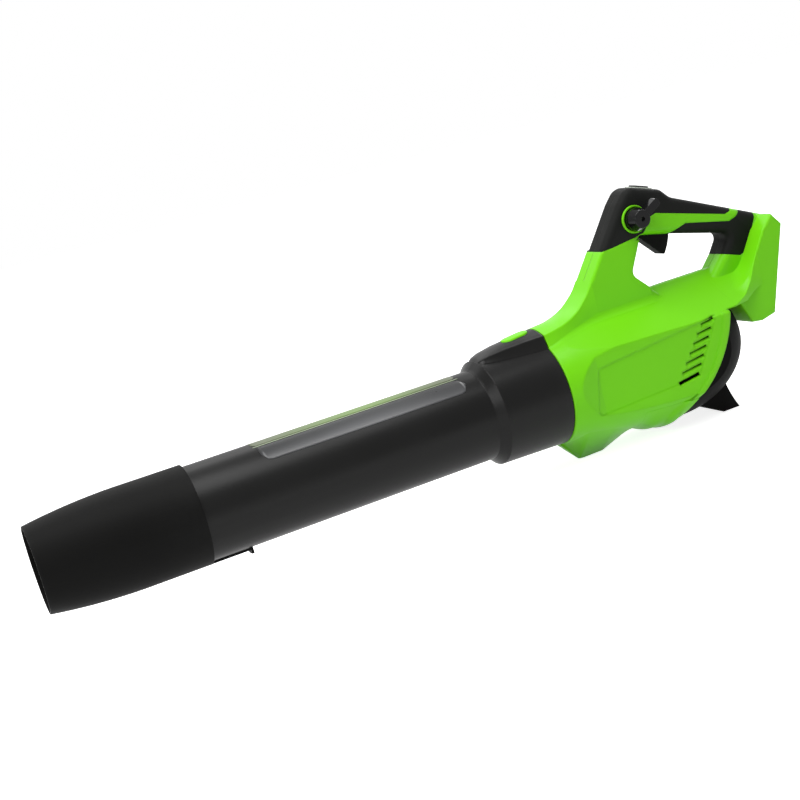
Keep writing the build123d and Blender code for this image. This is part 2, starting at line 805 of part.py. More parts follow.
# Axial fan
blade_root = fan_hub_radius - 2
blade_chord = 26.0
with BuildPart() as blade:
    for height, pitch, chord in ((blade_root, blade_root_pitch, blade_chord * 0.8),
                                 (duct_radius + 2, blade_tip_pitch, blade_chord)):
        with BuildSketch(Plane.XY.offset(height)):
            with Locations(Location(((fan_front + fan_rear) / 2 - 1, 0), pitch)):
                Rectangle(chord, blade_thickness)
    loft(ruled=True)
with BuildPart() as axial_fan:
    add(turned([(fan_front, shaft_radius), (fan_front, fan_hub_radius - 2), (fan_front + 2, fan_hub_radius),
                (fan_rear - 5, fan_hub_radius), (fan_rear, fan_hub_radius - 7), (fan_rear, shaft_radius)]))
    add(tube_ring(fan_front - 1, fan_rear - 6, fan_hub_radius - 3, 8), mode=Mode.SUBTRACT)
    for step in range(blade_count):
        add(blade.part.rotate(Axis.X, step * 360 / blade_count))
    add(tube_ring(fan_front - 20, fan_rear + 20, duct_radius - fan_gap, 0), mode=Mode.INTERSECT)
    add(tube_ring(fan_front - 20, fan_rear + 20, shaft_radius, 0), mode=Mode.SUBTRACT)
save(axial_fan, "axial_fan")

with BuildPart() as fan_nut:
    with BuildSketch(Plane.YZ.offset(fan_rear)):
        RegularPolygon(5, 6)
        Circle(shaft_radius, mode=Mode.SUBTRACT)
    extrude(amount=5)
save(fan_nut, "fan_nut")

# Control board in the front strut
strut_angle = radians(53)
board_plane = Plane(
    origin=(665, 0, 97),
    x_dir=(cos(strut_angle), 0, sin(strut_angle)),
    z_dir=(-sin(strut_angle), 0, cos(strut_angle)),
)
board_half = pin_end - motor_gap
with BuildPart() as control_board:
    with BuildSketch(board_plane):
        Rectangle(42, 2 * board_half)
    extrude(amount=1.6)
save(control_board, "control_board")
with BuildPart() as capacitors:
    with BuildSketch(board_plane.offset(1.6)):
        with GridLocations(0, 9, 1, 3):
            Circle(3.8)
    extrude(amount=9)
save(capacitors, "capacitors")
with BuildPart() as heat_sink:
    with BuildSketch(board_plane):
        Rectangle(30, 20)
    extrude(amount=-3)
    with BuildSketch(board_plane.offset(-3)):
        with GridLocations(0, 4, 1, 5):
            Rectangle(30, 1.4)
    extrude(amount=-4)
save(heat_sink, "heat_sink")

# Trigger
with BuildPart() as trigger:
    with BuildSketch(Plane.XZ):
        with BuildLine():
            Polyline((711.5, 131), (711.5, 144), (720, 146), (724, 141), (733, 134.6), (752, 134.6), (748, 124))
            ThreePointArc((748, 124), (744, 114), (738.5, 105.5))
            Line((738.5, 105.5), (735.5, 106.5))
            ThreePointArc((735.5, 106.5), (725, 117), (711.5, 131))
        make_face()
    extrude(amount=trigger_half_width, both=True)
    add(cross_hole(pivot_x, pivot_z, pin_radius + shaft_gap, -20, 20), mode=Mode.SUBTRACT)
save(trigger, "trigger")

with BuildPart() as trigger_pin:
    add(cross_hole(pivot_x, pivot_z, pin_radius, -pin_end, pin_end))
save(trigger_pin, "trigger_pin")

spring_x = 742.0
spring_z = 134.8
spring_top = 150.0
with BuildPart() as trigger_spring:
    with BuildSketch(Plane.XY.offset(spring_z)):
        with Locations((spring_x, 0)):
            Circle(3.2)
            Circle(2.4, mode=Mode.SUBTRACT)
    extrude(amount=spring_top - spring_z)
save(trigger_spring, "trigger_spring")
with BuildPart() as trigger_switch:
    add(block(spring_x - 6, spring_x + 18, pin_end - 1.2, spring_top, spring_top + 8))
save(trigger_switch, "trigger_switch")

# Cruise lever with its green ring and the speed sensor behind it
hub_back = -handle_half_width - lever_gap
hub_front = hub_back - lever_base_depth - lever_cone_depth
with BuildPart() as lever_ring:
    add(cross_hole(lever_x, lever_z, lever_ring_radius, -handle_half_width - lever_ring_depth, ring_back))
    add(cross_hole(lever_x, lever_z, lever_hub_radius + lever_gap, -40, 0), mode=Mode.SUBTRACT)
    fillet(lever_ring.faces().sort_by(Axis.Y)[0].edges(), 0.8)
save(lever_ring, "lever_ring")

with BuildPart() as cruise_lever:
    add(cross_hole(lever_x, lever_z, lever_hub_radius, hub_back - lever_base_depth, hub_back))
    with BuildSketch(Plane.XZ.offset(-hub_back + lever_base_depth)):
        with Locations((lever_x, lever_z)):
            Circle(lever_hub_radius)
    extrude(amount=lever_cone_depth, taper=lever_cone_taper)
    fillet(cruise_lever.faces().sort_by(Axis.Y)[0].edges(), 1.5)
    with BuildSketch(Plane.XZ.offset(-hub_back + lever_base_depth)):
        with Locations(Location((lever_x, lever_z), lever_arm_angle)):
            with Locations((lever_arm_reach / 2, 0)):
                SlotOverall(lever_arm_reach, lever_arm_width)
    extrude(amount=lever_arm_depth, taper=8)
    with BuildSketch(Plane.XZ.offset(-hub_front)):
        with Locations((lever_x, lever_z)):
            RegularPolygon(socket_size, 6)
    extrude(amount=-socket_depth, mode=Mode.SUBTRACT)
    add(cross_hole(lever_x, lever_z, lever_shaft_radius, hub_back, -8))
save(cruise_lever, "cruise_lever")

with BuildPart() as speed_sensor:
    add(cross_hole(lever_x, lever_z, 9, -8 + 0.3, pin_end))
save(speed_sensor, "speed_sensor")

# Turbo button on top of the handle
with BuildPart() as button_bezel:
    add(turbo_prism(bezel_length, bezel_width, -grip_skin, 1.0))
    add(turbo_prism(turbo_length + 2 * turbo_gap, turbo_width + 2 * turbo_gap, -10, 10), mode=Mode.SUBTRACT)
save(button_bezel, "button_bezel")
turbo_flange = -handle_wall - 0.3
with BuildPart() as turbo_button:
    add(turbo_prism(turbo_length, turbo_width, turbo_flange, turbo_proud))
    add(turbo_prism(turbo_length + turbo_flange_grow, turbo_width + turbo_flange_grow, turbo_flange - 2,
                    turbo_flange))
save(turbo_button, "turbo_button")
with BuildPart() as turbo_spring:
    with BuildSketch(turbo_plane.offset(turbo_flange - 2)):
        Circle(3.2)
        Circle(2.4, mode=Mode.SUBTRACT)
    extrude(amount=-6)
save(turbo_spring, "turbo_spring")
with BuildPart() as turbo_switch:
    with BuildSketch(turbo_plane.offset(turbo_flange - 8)):
        Rectangle(18, 2 * (pin_end - motor_gap))
    extrude(amount=-6)
save(turbo_switch, "turbo_switch")

# Battery terminals in the open rear bay
with BuildPart() as terminal_block:
    add(box_form(-bay_wall))
    add(block(780, 834, 24, 22, 62), mode=Mode.INTERSECT)
save(terminal_block, "terminal_block")
with BuildPart() as terminal_blades:
    for y in (-15, -5, 5, 15):
        with Locations((839, y, 44)):
            Box(10, 0.9, 14)
save(terminal_blades, "terminal_blades")
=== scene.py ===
import json
from math import acos, cos, radians, sin

import bmesh
import bpy
from mathutils import Matrix, Quaternion, Vector
from mathutils.bvhtree import BVHTree


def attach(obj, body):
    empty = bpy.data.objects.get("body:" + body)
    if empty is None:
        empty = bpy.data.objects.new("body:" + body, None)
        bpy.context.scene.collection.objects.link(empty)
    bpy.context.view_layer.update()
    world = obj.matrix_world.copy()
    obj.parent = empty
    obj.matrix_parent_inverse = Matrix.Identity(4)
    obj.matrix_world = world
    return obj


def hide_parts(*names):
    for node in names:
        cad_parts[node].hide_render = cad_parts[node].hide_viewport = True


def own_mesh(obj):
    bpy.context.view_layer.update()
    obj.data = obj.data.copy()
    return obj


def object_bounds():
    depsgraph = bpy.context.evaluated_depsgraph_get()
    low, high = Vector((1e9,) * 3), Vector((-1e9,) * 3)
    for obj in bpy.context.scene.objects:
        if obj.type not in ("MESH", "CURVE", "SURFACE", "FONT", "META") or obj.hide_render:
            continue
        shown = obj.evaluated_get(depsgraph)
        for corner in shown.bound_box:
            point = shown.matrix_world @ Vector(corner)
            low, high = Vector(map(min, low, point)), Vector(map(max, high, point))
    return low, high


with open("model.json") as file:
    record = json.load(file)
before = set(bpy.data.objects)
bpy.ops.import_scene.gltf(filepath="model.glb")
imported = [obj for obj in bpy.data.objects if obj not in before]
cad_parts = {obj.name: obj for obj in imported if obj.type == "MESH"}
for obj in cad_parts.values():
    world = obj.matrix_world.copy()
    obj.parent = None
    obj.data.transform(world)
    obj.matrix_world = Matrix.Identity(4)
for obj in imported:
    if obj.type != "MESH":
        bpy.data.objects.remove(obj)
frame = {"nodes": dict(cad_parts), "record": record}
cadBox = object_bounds()
print("frame loaded,", len(frame["nodes"]), "nodes")

scene = bpy.context.scene
scene.view_settings.view_transform = "Standard"
white = (1, 1, 1, 1)


# node helpers
def newGroup(name, inputs, outputs):
    group = bpy.data.node_groups.new(name, "ShaderNodeTree")
    for label, value in inputs.items():
        socket = group.interface.new_socket(label, in_out="INPUT", socket_type="NodeSocketFloat")
        socket.default_value = value
    for label in outputs:
        group.interface.new_socket(label, in_out="OUTPUT", socket_type="NodeSocketFloat")
    return group, group.nodes.new("NodeGroupInput"), group.nodes.new("NodeGroupOutput")


def addNode(tree, kind, links=(), **values):
    node = tree.nodes.new(kind)
    for key, value in values.items():
        setattr(node, key, value)
    for socket, source in links:
        if isinstance(source, bpy.types.NodeSocket):
            tree.links.new(source, node.inputs[socket])
        else:
            node.inputs[socket].default_value = source
    return node


def addNoise(tree, place, scale, detail):
    noise = addNode(tree, "ShaderNodeTexNoise", [("Vector", place), ("Scale", scale), ("Detail", detail)])
    return noise.outputs["Fac"]


def remap(tree, source, low, high, toLow, toHigh):
    node = addNode(tree, "ShaderNodeMapRange", [("Value", source), ("From Min", low), ("From Max", high),
                                                ("To Min", toLow), ("To Max", toHigh)])
    return node.outputs["Result"]


def opaque(colour):
    return (*colour, 1)


def mixColours(tree, share, first, second, blendType="MIX"):
    links = [("Factor", share), ("A", first), ("B", second)]
    node = addNode(tree, "ShaderNodeMix", links, data_type="RGBA", blend_type=blendType)
    return node.outputs[2]  # the colour result


# fine texture that a mould leaves on plastic, with a slow change of tone
grainNoise = dict(fineScale=1800.0, fineDetail=2.0, slowScale=14.0, slowDetail=3.0)


def makeMouldGrain():
    inputs = {"Scale": grainNoise["fineScale"], "Drift": grainNoise["slowScale"]}
    group, into, out = newGroup("mouldGrain", inputs, ("Height", "Tone"))
    place = addNode(group, "ShaderNodeTexCoord").outputs["Object"]
    fine = addNoise(group, place, into.outputs["Scale"], grainNoise["fineDetail"])
    slow = addNoise(group, place, into.outputs["Drift"], grainNoise["slowDetail"])
    group.links.new(fine, out.inputs["Height"])
    group.links.new(slow, out.inputs["Tone"])
    return group


# painted highlight along the sharp edges, broken into patches
paintedSheenNoise = dict(start=0.52, end=0.62, scale=90.0, detail=4.0)


def makePaintedEdgeSheen():
    inputs = {"Start": paintedSheenNoise["start"], "End": paintedSheenNoise["end"]}
    group, into, out = newGroup("paintedEdgeSheen", inputs, ("Mask",))
    point = addNode(group, "ShaderNodeNewGeometry").outputs["Pointiness"]
    place = addNode(group, "ShaderNodeTexCoord").outputs["Object"]
    patch = addNoise(group, place, paintedSheenNoise["scale"], paintedSheenNoise["detail"])
    edge = remap(group, point, into.outputs["Start"], into.outputs["End"], 0.0, 1.0)
    both = addNode(group, "ShaderNodeMath", [(0, edge), (1, patch)], operation="MULTIPLY")
    group.links.new(both.outputs["Value"], out.inputs["Mask"])
    return group


mouldGrain = makeMouldGrain()
paintedEdgeSheen = makePaintedEdgeSheen()


def useGroup(tree, group, **values):
    node = addNode(tree, "ShaderNodeGroup", node_tree=group)
    for key, value in values.items():
        node.inputs[key].default_value = value
    return node


def newMaterial(name):
    material = bpy.data.materials.new(name)
    material.use_nodes = True
    tree = material.node_tree
    return material, tree, tree.nodes["Principled BSDF"]


# roughness that changes a little with the grain
def spreadGloss(tree, source, look):
    rough, spread = look["rough"], look["roughSpread"]
    return remap(tree, source, look["toneLow"], look["toneHigh"], rough - spread, rough + spread)


# moulded finish: two tones of one colour, a painted highlight on the sharp edges, grain in the bump and a
# little change in the gloss
def mouldedFinish(name, look):
    material, tree, shader = newMaterial(name)
    grain = useGroup(tree, mouldGrain, Scale=look["grainScale"], Drift=look["drift"])
    edges = useGroup(tree, paintedEdgeSheen, Start=look["edgeSheenStart"], End=look["edgeSheenStart"] + look["edgeSheenWidth"])
    tone = mixColours(tree, grain.outputs["Tone"], opaque(look["colour"]), opaque(look["second"]))
    # painted highlight: the sharp edges are lightened towards a paler colour, in patches
    sheenShare = remap(tree, edges.outputs["Mask"], 0.0, 1.0, 0.0, look["edgeSheenAmount"])
    withSheen = mixColours(tree, sheenShare, tone, opaque(look["edgeSheenColour"]))
    tree.links.new(withSheen, shader.inputs["Base Color"])
    tree.links.new(spreadGloss(tree, grain.outputs["Tone"], look), shader.inputs["Roughness"])
    rounded = addNode(tree, "ShaderNodeBevel", [("Radius", look["edge"])], samples=look["edgeSamples"])
    bump = addNode(tree, "ShaderNodeBump", [("Height", grain.outputs["Height"]), ("Strength", look["bump"]),
                                            ("Distance", look["bumpDepth"]),
                                            ("Normal", rounded.outputs["Normal"])])
    tree.links.new(bump.outputs["Normal"], shader.inputs["Normal"])
    shader.inputs["Specular IOR Level"].default_value = look["specular"]
    return material


# the edge colour and its share in these looks paint a highlight on the sharp edges
mouldedBase = dict(edgeSheenAmount=0.2, edgeSheenStart=0.54, edgeSheenWidth=0.1, bumpDepth=0.0002, edgeSamples=6, toneLow=0.3,
                   toneHigh=0.7)
greenLook = dict(mouldedBase, colour=(0.140, 0.540, 0.004), second=(0.155, 0.580, 0.006),
                 edgeSheenColour=(0.30, 0.72, 0.06), edgeSheenAmount=0.10, edgeSheenStart=0.53, rough=0.34, roughSpread=0.03,
                 grainScale=2600.0, drift=9.0, bump=0.10, specular=0.15, edge=0.0035)
blackLook = dict(mouldedBase, colour=(0.0034, 0.0034, 0.0032), second=(0.0050, 0.0050, 0.0048),
                 edgeSheenColour=(0.04, 0.04, 0.04), rough=0.33, roughSpread=0.04, grainScale=2200.0, drift=11.0,
                 bump=0.16, specular=0.14, edge=0.0012)
mattLook = dict(blackLook, rough=0.52, specular=0.05)
guardLook = dict(blackLook, rough=0.60, specular=0.03)
rubberLook = dict(mouldedBase, colour=(0.0040, 0.0044, 0.0038), second=(0.0060, 0.0064, 0.0058),
                  edgeSheenColour=(0.03, 0.03, 0.03), rough=0.60, roughSpread=0.05, grainScale=1500.0, drift=18.0,
                  bump=0.35, bumpDepth=0.0003, specular=0.10, edge=0.0015)
innerLook = dict(mouldedBase, colour=(0.006, 0.006, 0.0065), second=(0.009, 0.009, 0.0095),
                 edgeSheenColour=(0.05, 0.05, 0.05), rough=0.5, roughSpread=0.05, grainScale=1800.0, drift=14.0,
                 bump=0.15, specular=0.20, edge=0.0005)
glossLook = dict(mouldedBase, colour=(0.004, 0.004, 0.0042), second=(0.006, 0.006, 0.0063),
                 edgeSheenColour=(0.05, 0.05, 0.05), edgeSheenAmount=0.15, edgeSheenStart=0.55, rough=0.14, roughSpread=0.03,
                 grainScale=900.0, drift=30.0, bump=0.03, bumpDepth=0.0001, specular=0.16, edge=0.0008)
paleLook = dict(mouldedBase, colour=(0.46, 0.52, 0.44), second=(0.52, 0.58, 0.50), edgeSheenColour=(0.7, 0.7, 0.7),
                rough=0.35, roughSpread=0.04, grainScale=2400.0, drift=20.0, bump=0.1, specular=0.5,
                edge=0.0004)
boardLook = dict(mouldedBase, colour=(0.012, 0.09, 0.035), second=(0.02, 0.13, 0.05),
                 edgeSheenColour=(0.2, 0.3, 0.2), edgeSheenAmount=0.1, edgeSheenStart=0.55, rough=0.3, roughSpread=0.05,
                 grainScale=700.0, drift=60.0, bump=0.1, specular=0.5, edge=0.0003)


# bare metal with a fine grain
def metalFinish(name, look):
    material, tree, shader = newMaterial(name)
    grain = useGroup(tree, mouldGrain, Scale=look["grainScale"], Drift=look["drift"])
    tone = mixColours(tree, grain.outputs["Tone"], opaque(look["colour"]), opaque(look["second"]))
    tree.links.new(tone, shader.inputs["Base Color"])
    tree.links.new(spreadGloss(tree, grain.outputs["Height"], look), shader.inputs["Roughness"])
    bump = addNode(tree, "ShaderNodeBump", [("Height", grain.outputs["Height"]), ("Strength", look["bump"]),
                                            ("Distance", look["bumpDepth"])])
    tree.links.new(bump.outputs["Normal"], shader.inputs["Normal"])
    shader.inputs["Metallic"].default_value = 1.0
    return material


metalBase = dict(roughSpread=0.06, toneLow=0.2, toneHigh=0.8, bump=0.08, bumpDepth=0.0001)
steelLook = dict(metalBase, colour=(0.42, 0.42, 0.43), second=(0.52, 0.52, 0.53), rough=0.34,
                 grainScale=1600.0, drift=60.0)
aluminiumLook = dict(metalBase, colour=(0.58, 0.58, 0.60), second=(0.66, 0.66, 0.68), rough=0.42,
                     grainScale=1200.0, drift=50.0)
copperLook = dict(metalBase, colour=(0.55, 0.24, 0.10), second=(0.64, 0.31, 0.14), rough=0.32,
                  grainScale=1400.0, drift=70.0)

finishes = {
    "green_plastic": mouldedFinish("limeMouldedPlastic", greenLook),
    "black_plastic": mouldedFinish("blackMouldedPlastic", blackLook),
    "inner_plastic": mouldedFinish("innerBlackPlastic", innerLook),
    "gloss_black": mouldedFinish("glossBlackPlastic", glossLook),
    "pale_plastic": mouldedFinish("paleRimPlastic", paleLook),
    "grip_rubber": mouldedFinish("softGripRubber", rubberLook),
    "board": mouldedFinish("coatedBoard", boardLook),
    "steel": metalFinish("plainSteel", steelLook),
    "aluminium": metalFinish("castAluminium", aluminiumLook),
    "copper": metalFinish("enamelledCopper", copperLook),
}
plainGreen = mouldedFinish("limeBlendPlastic", dict(greenLook, edge=0.0))  # mouldings laid on the housing
ownFinishes = {
    "nozzle": mouldedFinish("mattNozzlePlastic", mattLook),
    "intake_guard": mouldedFinish("mattGuardPlastic", guardLook),
    "trigger": mouldedFinish("mattTriggerPlastic", guardLook),
}
nodeSlots = {entry["node"]: entry["material_slot"] for entry in frame["record"]["subparts"]}
for name, node in frame["nodes"].items():
    node.data.materials.clear()
    node.data.materials.append(ownFinishes.get(name, finishes[nodeSlots[name]]))
print("finishes set on the nodes")


# camera, floor and light
cameraLook = dict(place=(-0.0687, -1.2913, 0.3460), aim=(0.3956, -0.0054, 0.0445), roll=-14.30, lens=61.06,
                  sensor=36.0, near=0.01)
camera = bpy.data.objects.new("photoCamera", bpy.data.cameras.new("photoCamera"))
camera.data.lens = cameraLook["lens"]
camera.data.sensor_width = cameraLook["sensor"]
camera.data.clip_start = cameraLook["near"]
camera.location = cameraLook["place"]
towards = Vector(cameraLook["aim"]) - Vector(cameraLook["place"])
roll = Quaternion((0, 0, 1), radians(cameraLook["roll"]))
camera.rotation_mode = "QUATERNION"
camera.rotation_quaternion = towards.to_track_quat("-Z", "Y") @ roll
scene.collection.objects.link(camera)
scene.camera = camera


# rays that see the pale background: straight from the camera, in gloss and through glass
def seenMask(tree):
    path = addNode(tree, "ShaderNodeLightPath")
    seen = path.outputs["Is Camera Ray"]
    for ray in ("Is Glossy Ray", "Is Transmission Ray"):
        either = addNode(tree, "ShaderNodeMath", [(0, seen), (1, path.outputs[ray])], operation="MAXIMUM")
        seen = either.outputs["Value"]
    return seen


floorLook = dict(size=14.0, drop=0.0002, colour=(0.80, 0.80, 0.80), glow=0.84)
floorMesh = bpy.data.meshes.new("studioFloor")
floorHalf = floorLook["size"] / 2
floorZ = cadBox[0][2] - floorLook["drop"]
floorCorners = [(-floorHalf, -floorHalf, floorZ), (floorHalf, -floorHalf, floorZ),
                (floorHalf, floorHalf, floorZ), (-floorHalf, floorHalf, floorZ)]
floorMesh.from_pydata(floorCorners, [], [(0, 1, 2, 3)])
floor = bpy.data.objects.new("studioFloor", floorMesh)
scene.collection.objects.link(floor)
floorMaterial = bpy.data.materials.new("paleFloor")
floorMaterial.use_nodes = True
tree = floorMaterial.node_tree
tree.nodes.remove(tree.nodes["Principled BSDF"])
matt = addNode(tree, "ShaderNodeBsdfDiffuse", [("Color", opaque(floorLook["colour"]))])
seen = seenMask(tree)
strength = addNode(tree, "ShaderNodeMath", [(0, seen), (1, floorLook["glow"])], operation="MULTIPLY")
glow = addNode(tree, "ShaderNodeEmission", [("Color", white), ("Strength", strength.outputs["Value"])])
both = addNode(tree, "ShaderNodeAddShader", [(0, matt.outputs["BSDF"]), (1, glow.outputs["Emission"])])
tree.links.new(both.outputs["Shader"], tree.nodes["Material Output"].inputs["Surface"])
floorMesh.materials.append(floorMaterial)

worldLook = dict(ambient=0.30)
world = bpy.data.worlds.new("studioWorld")
scene.world = world
world.use_nodes = True
tree = world.node_tree
background = tree.nodes["Background"]
background.inputs["Color"].default_value = white
bright = remap(tree, seenMask(tree), 0.0, 1.0, worldLook["ambient"], 1.0)
tree.links.new(bright, background.inputs["Strength"])

lamps = {
    "topSoftbox": dict(place=(0.25, -0.30, 1.75), aim=(0.5, 0, 0), size=(1.7, 1.0), watts=36.0),
    "frontSoftbox": dict(place=(-1.3, -0.75, 1.0), aim=(0.5, 0, 0.05), size=(1.0, 1.0), watts=17.0),
    "backSoftbox": dict(place=(0.25, 1.25, 1.25), aim=(0.5, 0, 0.05), size=(1.5, 0.6), watts=5.0),
    "rearSoftbox": dict(place=(1.7, 0.9, 1.1), aim=(0.6, 0, 0.05), size=(0.9, 0.9), watts=8.0),
}
for name, look in lamps.items():
    lamp = bpy.data.objects.new(name, bpy.data.lights.new(name, "AREA"))
    lamp.data.shape = "RECTANGLE"
    lamp.data.size, lamp.data.size_y = look["size"]
    lamp.data.energy = look["watts"]
    lamp.location = look["place"]
    lamp.rotation_mode = "QUATERNION"
    lamp.rotation_quaternion = (Vector(look["aim"]) - Vector(look["place"])).to_track_quat("-Z", "Y")
    scene.collection.objects.link(lamp)
print("camera, floor and light set")


# shape helpers
def between(low, high, share):
    return low + (high - low) * share


def spaced(start, end, count):
    return [start + (end - start) * step / count for step in range(count + 1)]


def smoothStep(share):
    share = min(max(share, 0.0), 1.0)
    return share * share * (3 - 2 * share)


def curveAt(points, x):
    for (x0, z0), (x1, z1) in zip(points, points[1:]):
        if x <= x1:
            return z0 + (z1 - z0) * (x - x0) / (x1 - x0)
    return points[-1][1]


def meshFrom(name, shape):
    bmesh.ops.recalc_face_normals(shape, faces=shape.faces)
    mesh = bpy.data.meshes.new(name)
    shape.to_mesh(mesh)
    shape.free()
    return mesh


# closed skin through rings that all have the same number of points
def skinRings(name, rings):
    shape = bmesh.new()
    loops = [[shape.verts.new(point) for point in ring] for ring in rings]
    for one, two in zip(loops, loops[1:]):
        for corners in zip(one, one[1:] + one[:1], two[1:] + two[:1], two):
            shape.faces.new(corners)
    shape.faces.new(loops[0][::-1])
    shape.faces.new(loops[-1])
    return meshFrom(name, shape)


# what is left of a mesh outside the cutting mesh
def cutMesh(mesh, cutter):
    blank = bpy.data.objects.new(mesh.name, mesh)
    tool = bpy.data.objects.new(cutter.name, cutter)
    scene.collection.objects.link(blank)
    scene.collection.objects.link(tool)
    cut = blank.modifiers.new("opening", "BOOLEAN")
    cut.object = tool
    cut.operation = "DIFFERENCE"
    cut.solver = "EXACT"
    bpy.context.view_layer.update()
    ready = blank.evaluated_get(bpy.context.evaluated_depsgraph_get())
    result = bpy.data.meshes.new_from_object(ready)
    bpy.data.objects.remove(blank)
    bpy.data.objects.remove(tool)
    return result


def placePiece(name, mesh, material, body="body", crease=None):
    for face in mesh.polygons:
        face.use_smooth = True
    if crease:
        mesh.set_sharp_from_angle(angle=radians(crease))
    mesh.materials.clear()
    mesh.materials.append(material)
    piece = bpy.data.objects.new(name, mesh)
    scene.collection.objects.link(piece)
    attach(piece, body)
    return piece


loftCrease = 32.0  # degrees between faces that still shade as one


def layGreen(name, rings):
    return placePiece(name, skinRings(name, rings), plainGreen, crease=loftCrease)


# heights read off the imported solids, so that the added mouldings sit on them
castFrom = 0.4  # above every solid


def surfaceOf(*names):
    trees = []
    for name in names:
        mesh = frame["nodes"][name].data
        trees.append(BVHTree.FromPolygons([vertex.co.copy() for vertex in mesh.vertices],
                                          [tuple(face.vertices) for face in mesh.polygons]))
    return trees


def heightAt(trees, x, y):
    hits = [tree.ray_cast(Vector((x, y, castFrom)), Vector((0, 0, -1)))[0] for tree in trees]
    return max(hit.z for hit in hits if hit)


# grey strip, pinstripe and olive band along the tube
tubeRadius = 0.049
foilGap = 0.0001
stripBase = dict(radius=tubeRadius + foilGap, foil=0.00012, lengthSteps=48, turnSteps=12, peak=0.55,
                 grainScale=900.0, drift=30.0, toneLow=0.3, toneHigh=0.7, roughSpread=0.03, specular=0.35)
tubeStrips = {
    "tubeStripGrey": dict(stripBase, finish="printedGreyFoil", slot="black_plastic", start=0.234, end=0.463,
                          upper=16.0, lower=43.0, corner=0.0105, upperTuck=1.0,
                          lowerTone=(0.110, 0.112, 0.116), upperTone=(0.020, 0.021, 0.022),
                          endTone=(0.45, 0.45, 0.46), rough=0.30),
    "tubeStripPin": dict(stripBase, finish="printedPinFoil", slot="pale_plastic", start=0.231, end=0.461,
                         upper=12.8, lower=14.3, corner=0.0005, upperTuck=0.0,
                         lowerTone=(0.30, 0.36, 0.22), upperTone=(0.34, 0.42, 0.26),
                         endTone=(0.8, 0.8, 0.8), rough=0.3),
    "tubeStripBand": dict(stripBase, finish="printedOliveFoil", slot="green_plastic", start=0.231, end=0.459,
                          upper=-22.0, lower=11.6, corner=0.003, upperTuck=0.0,
                          lowerTone=(0.130, 0.220, 0.050), upperTone=(0.120, 0.190, 0.060),
                          endTone=(0.62, 0.45, 1.0), rough=0.35),
}


def stripMesh(name, size):
    shape = bmesh.new()
    rows = []
    for step in range(size["lengthSteps"] + 1):
        along = step / size["lengthSteps"]
        x = between(size["start"], size["end"], along)
        nearEnd = min(x - size["start"], size["end"] - x)
        tuckTurn = 0.0
        if nearEnd < size["corner"]:
            short = size["corner"] - nearEnd
            tuckTurn = (size["corner"] - (size["corner"] ** 2 - short ** 2) ** 0.5) / size["radius"]
        upper = radians(size["upper"])
        lower = radians(size["lower"]) - tuckTurn
        if along > 0.5:  # only the far end is rounded on both sides
            upper += tuckTurn * size["upperTuck"]
        row = []
        for turn in spaced(upper, lower, size["turnSteps"]):
            row.append(shape.verts.new((x, -size["radius"] * sin(turn), size["radius"] * cos(turn))))
        rows.append(row)
    for one, two in zip(rows, rows[1:]):
        for corners in zip(one, one[1:], two[1:], two):
            shape.faces.new(corners)
    return meshFrom(name, shape)


# foil whose tone runs from one edge to the other and along its length
def foilFinish(look):
    material, tree, shader = newMaterial(look["finish"])
    place = addNode(tree, "ShaderNodeTexCoord").outputs["Object"]
    parts = addNode(tree, "ShaderNodeSeparateXYZ", [("Vector", place)])
    lowerZ = look["radius"] * cos(radians(look["lower"]))
    upperZ = look["radius"] * cos(radians(look["upper"]))
    across = remap(tree, parts.outputs["Z"], lowerZ, upperZ, 0.0, 1.0)
    along = remap(tree, parts.outputs["X"], look["start"], look["end"], 0.0, 1.0)
    tone = mixColours(tree, across, opaque(look["lowerTone"]), opaque(look["upperTone"]))
    ends = addNode(tree, "ShaderNodeValToRGB", [("Fac", along)])
    ends.color_ramp.interpolation = "EASE"
    ends.color_ramp.elements[0].color = opaque(look["endTone"])
    ends.color_ramp.elements[1].color = opaque(look["endTone"])
    ends.color_ramp.elements.new(look["peak"]).color = white
    toned = mixColours(tree, 1.0, tone, ends.outputs["Color"], "MULTIPLY")
    tree.links.new(toned, shader.inputs["Base Color"])
    grain = useGroup(tree, mouldGrain, Scale=look["grainScale"], Drift=look["drift"])
    tree.links.new(spreadGloss(tree, grain.outputs["Tone"], look), shader.inputs["Roughness"])
    shader.inputs["Specular IOR Level"].default_value = look["specular"]
    return material


for name, strip in tubeStrips.items():
    piece = placePiece(name, stripMesh(name, strip), foilFinish(strip))
    solid = piece.modifiers.new("foil", "SOLIDIFY")
    solid.thickness = strip["foil"]
    solid.offset = 1.0
print("tube strip laid")


# whole crowned section: domed top, rounded edges and leaning sides, closed underneath
crownSteps = dict(top=8, edge=4)


def crownedSection(x, top, half, crown, edge, base, under):
    domeHalf = half - edge
    points = [(y, top - y * y * crown) for y in spaced(0.0, domeHalf, crownSteps["top"])]
    foldZ = top - domeHalf ** 2 * crown
    for step in range(1, crownSteps["edge"] + 1):
        turn = radians(90 * step / crownSteps["edge"])
        points.append((domeHalf + edge * sin(turn), foldZ - edge * (1 - cos(turn))))
    points += [base, under]
    mirrored = [(-y, z) for y, z in points[1:]]
    return [(x, y, z) for y, z in points + mirrored[::-1]]


# outline of a slot with round ends
def slotRing(length, width, count):
    ring = []
    straight = (length - width) / 2
    for step in range(count):
        turn = radians(360 * (step + 0.5) / count)
        shift = straight if cos(turn) > 0 else -straight
        ring.append((width / 2 * cos(turn) + shift, width / 2 * sin(turn)))
    return ring


